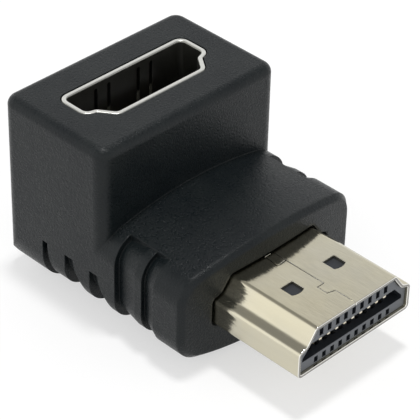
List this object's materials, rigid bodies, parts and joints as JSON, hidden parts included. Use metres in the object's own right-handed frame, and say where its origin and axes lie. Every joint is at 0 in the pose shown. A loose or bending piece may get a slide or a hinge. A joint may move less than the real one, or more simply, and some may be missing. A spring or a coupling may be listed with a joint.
{
  "type": "right angle video adapter",
  "caption": "Right angle adapter for a flat video connector: a plug leaves the ribbed black body at the front and a matching socket opens upwards in the block behind it.",
  "frame": {"origin": "on the heel's flat underside, in the middle plane, 2.5 mm behind the axis of the socket", "axes": "+X along the plug towards its tip, +Z along the socket out of its mouth, Y across both"},
  "size_m": [0.0324, 0.021, 0.0182],
  "materials": {
    "body_plastic": "fine grained moulding, slightly worn on the edges",
    "inner_plastic": "plain moulding",
    "board_laminate": "glass fibre laminate with solder mask",
    "plated_steel": "nickel plated sheet, fine brushed lines along the plug",
    "plug_insert_plastic": "smooth moulding",
    "socket_insert_plastic": "smooth moulding",
    "contact_metal": "gold plated"
  },
  "bodies": {
    "root": {"circuit_board": "board_laminate", "housing": "body_plastic", "inner_mould": "inner_plastic", "plug_contact_lower_01": "contact_metal", "plug_contact_lower_02": "contact_metal", "plug_contact_lower_03": "contact_metal", "plug_contact_lower_04": "contact_metal", "plug_contact_lower_05": "contact_metal", "plug_contact_lower_06": "contact_metal", "plug_contact_lower_07": "contact_metal", "plug_contact_lower_08": "contact_metal", "plug_contact_lower_09": "contact_metal", "plug_contact_lower_10": "contact_metal", "plug_contact_upper_01": "contact_metal", "plug_contact_upper_02": "contact_metal", "plug_contact_upper_03": "contact_metal", "plug_contact_upper_04": "contact_metal", "plug_contact_upper_05": "contact_metal", "plug_contact_upper_06": "contact_metal", "plug_contact_upper_07": "contact_metal", "plug_contact_upper_08": "contact_metal", "plug_contact_upper_09": "contact_metal", "plug_insulator": "plug_insert_plastic", "plug_shell": "plated_steel", "socket_contact_narrow_01": "contact_metal", "socket_contact_narrow_02": "contact_metal", "socket_contact_narrow_03": "contact_metal", "socket_contact_narrow_04": "contact_metal", "socket_contact_narrow_05": "contact_metal", "socket_contact_narrow_06": "contact_metal", "socket_contact_narrow_07": "contact_metal", "socket_contact_narrow_08": "contact_metal", "socket_contact_narrow_09": "contact_metal", "socket_contact_wide_01": "contact_metal", "socket_contact_wide_02": "contact_metal", "socket_contact_wide_03": "contact_metal", "socket_contact_wide_04": "contact_metal", "socket_contact_wide_05": "contact_metal", "socket_contact_wide_06": "contact_metal", "socket_contact_wide_07": "contact_metal", "socket_contact_wide_08": "contact_metal", "socket_contact_wide_09": "contact_metal", "socket_contact_wide_10": "contact_metal", "socket_insulator": "socket_insert_plastic", "socket_shell": "plated_steel"}
  },
  "joints": []
}
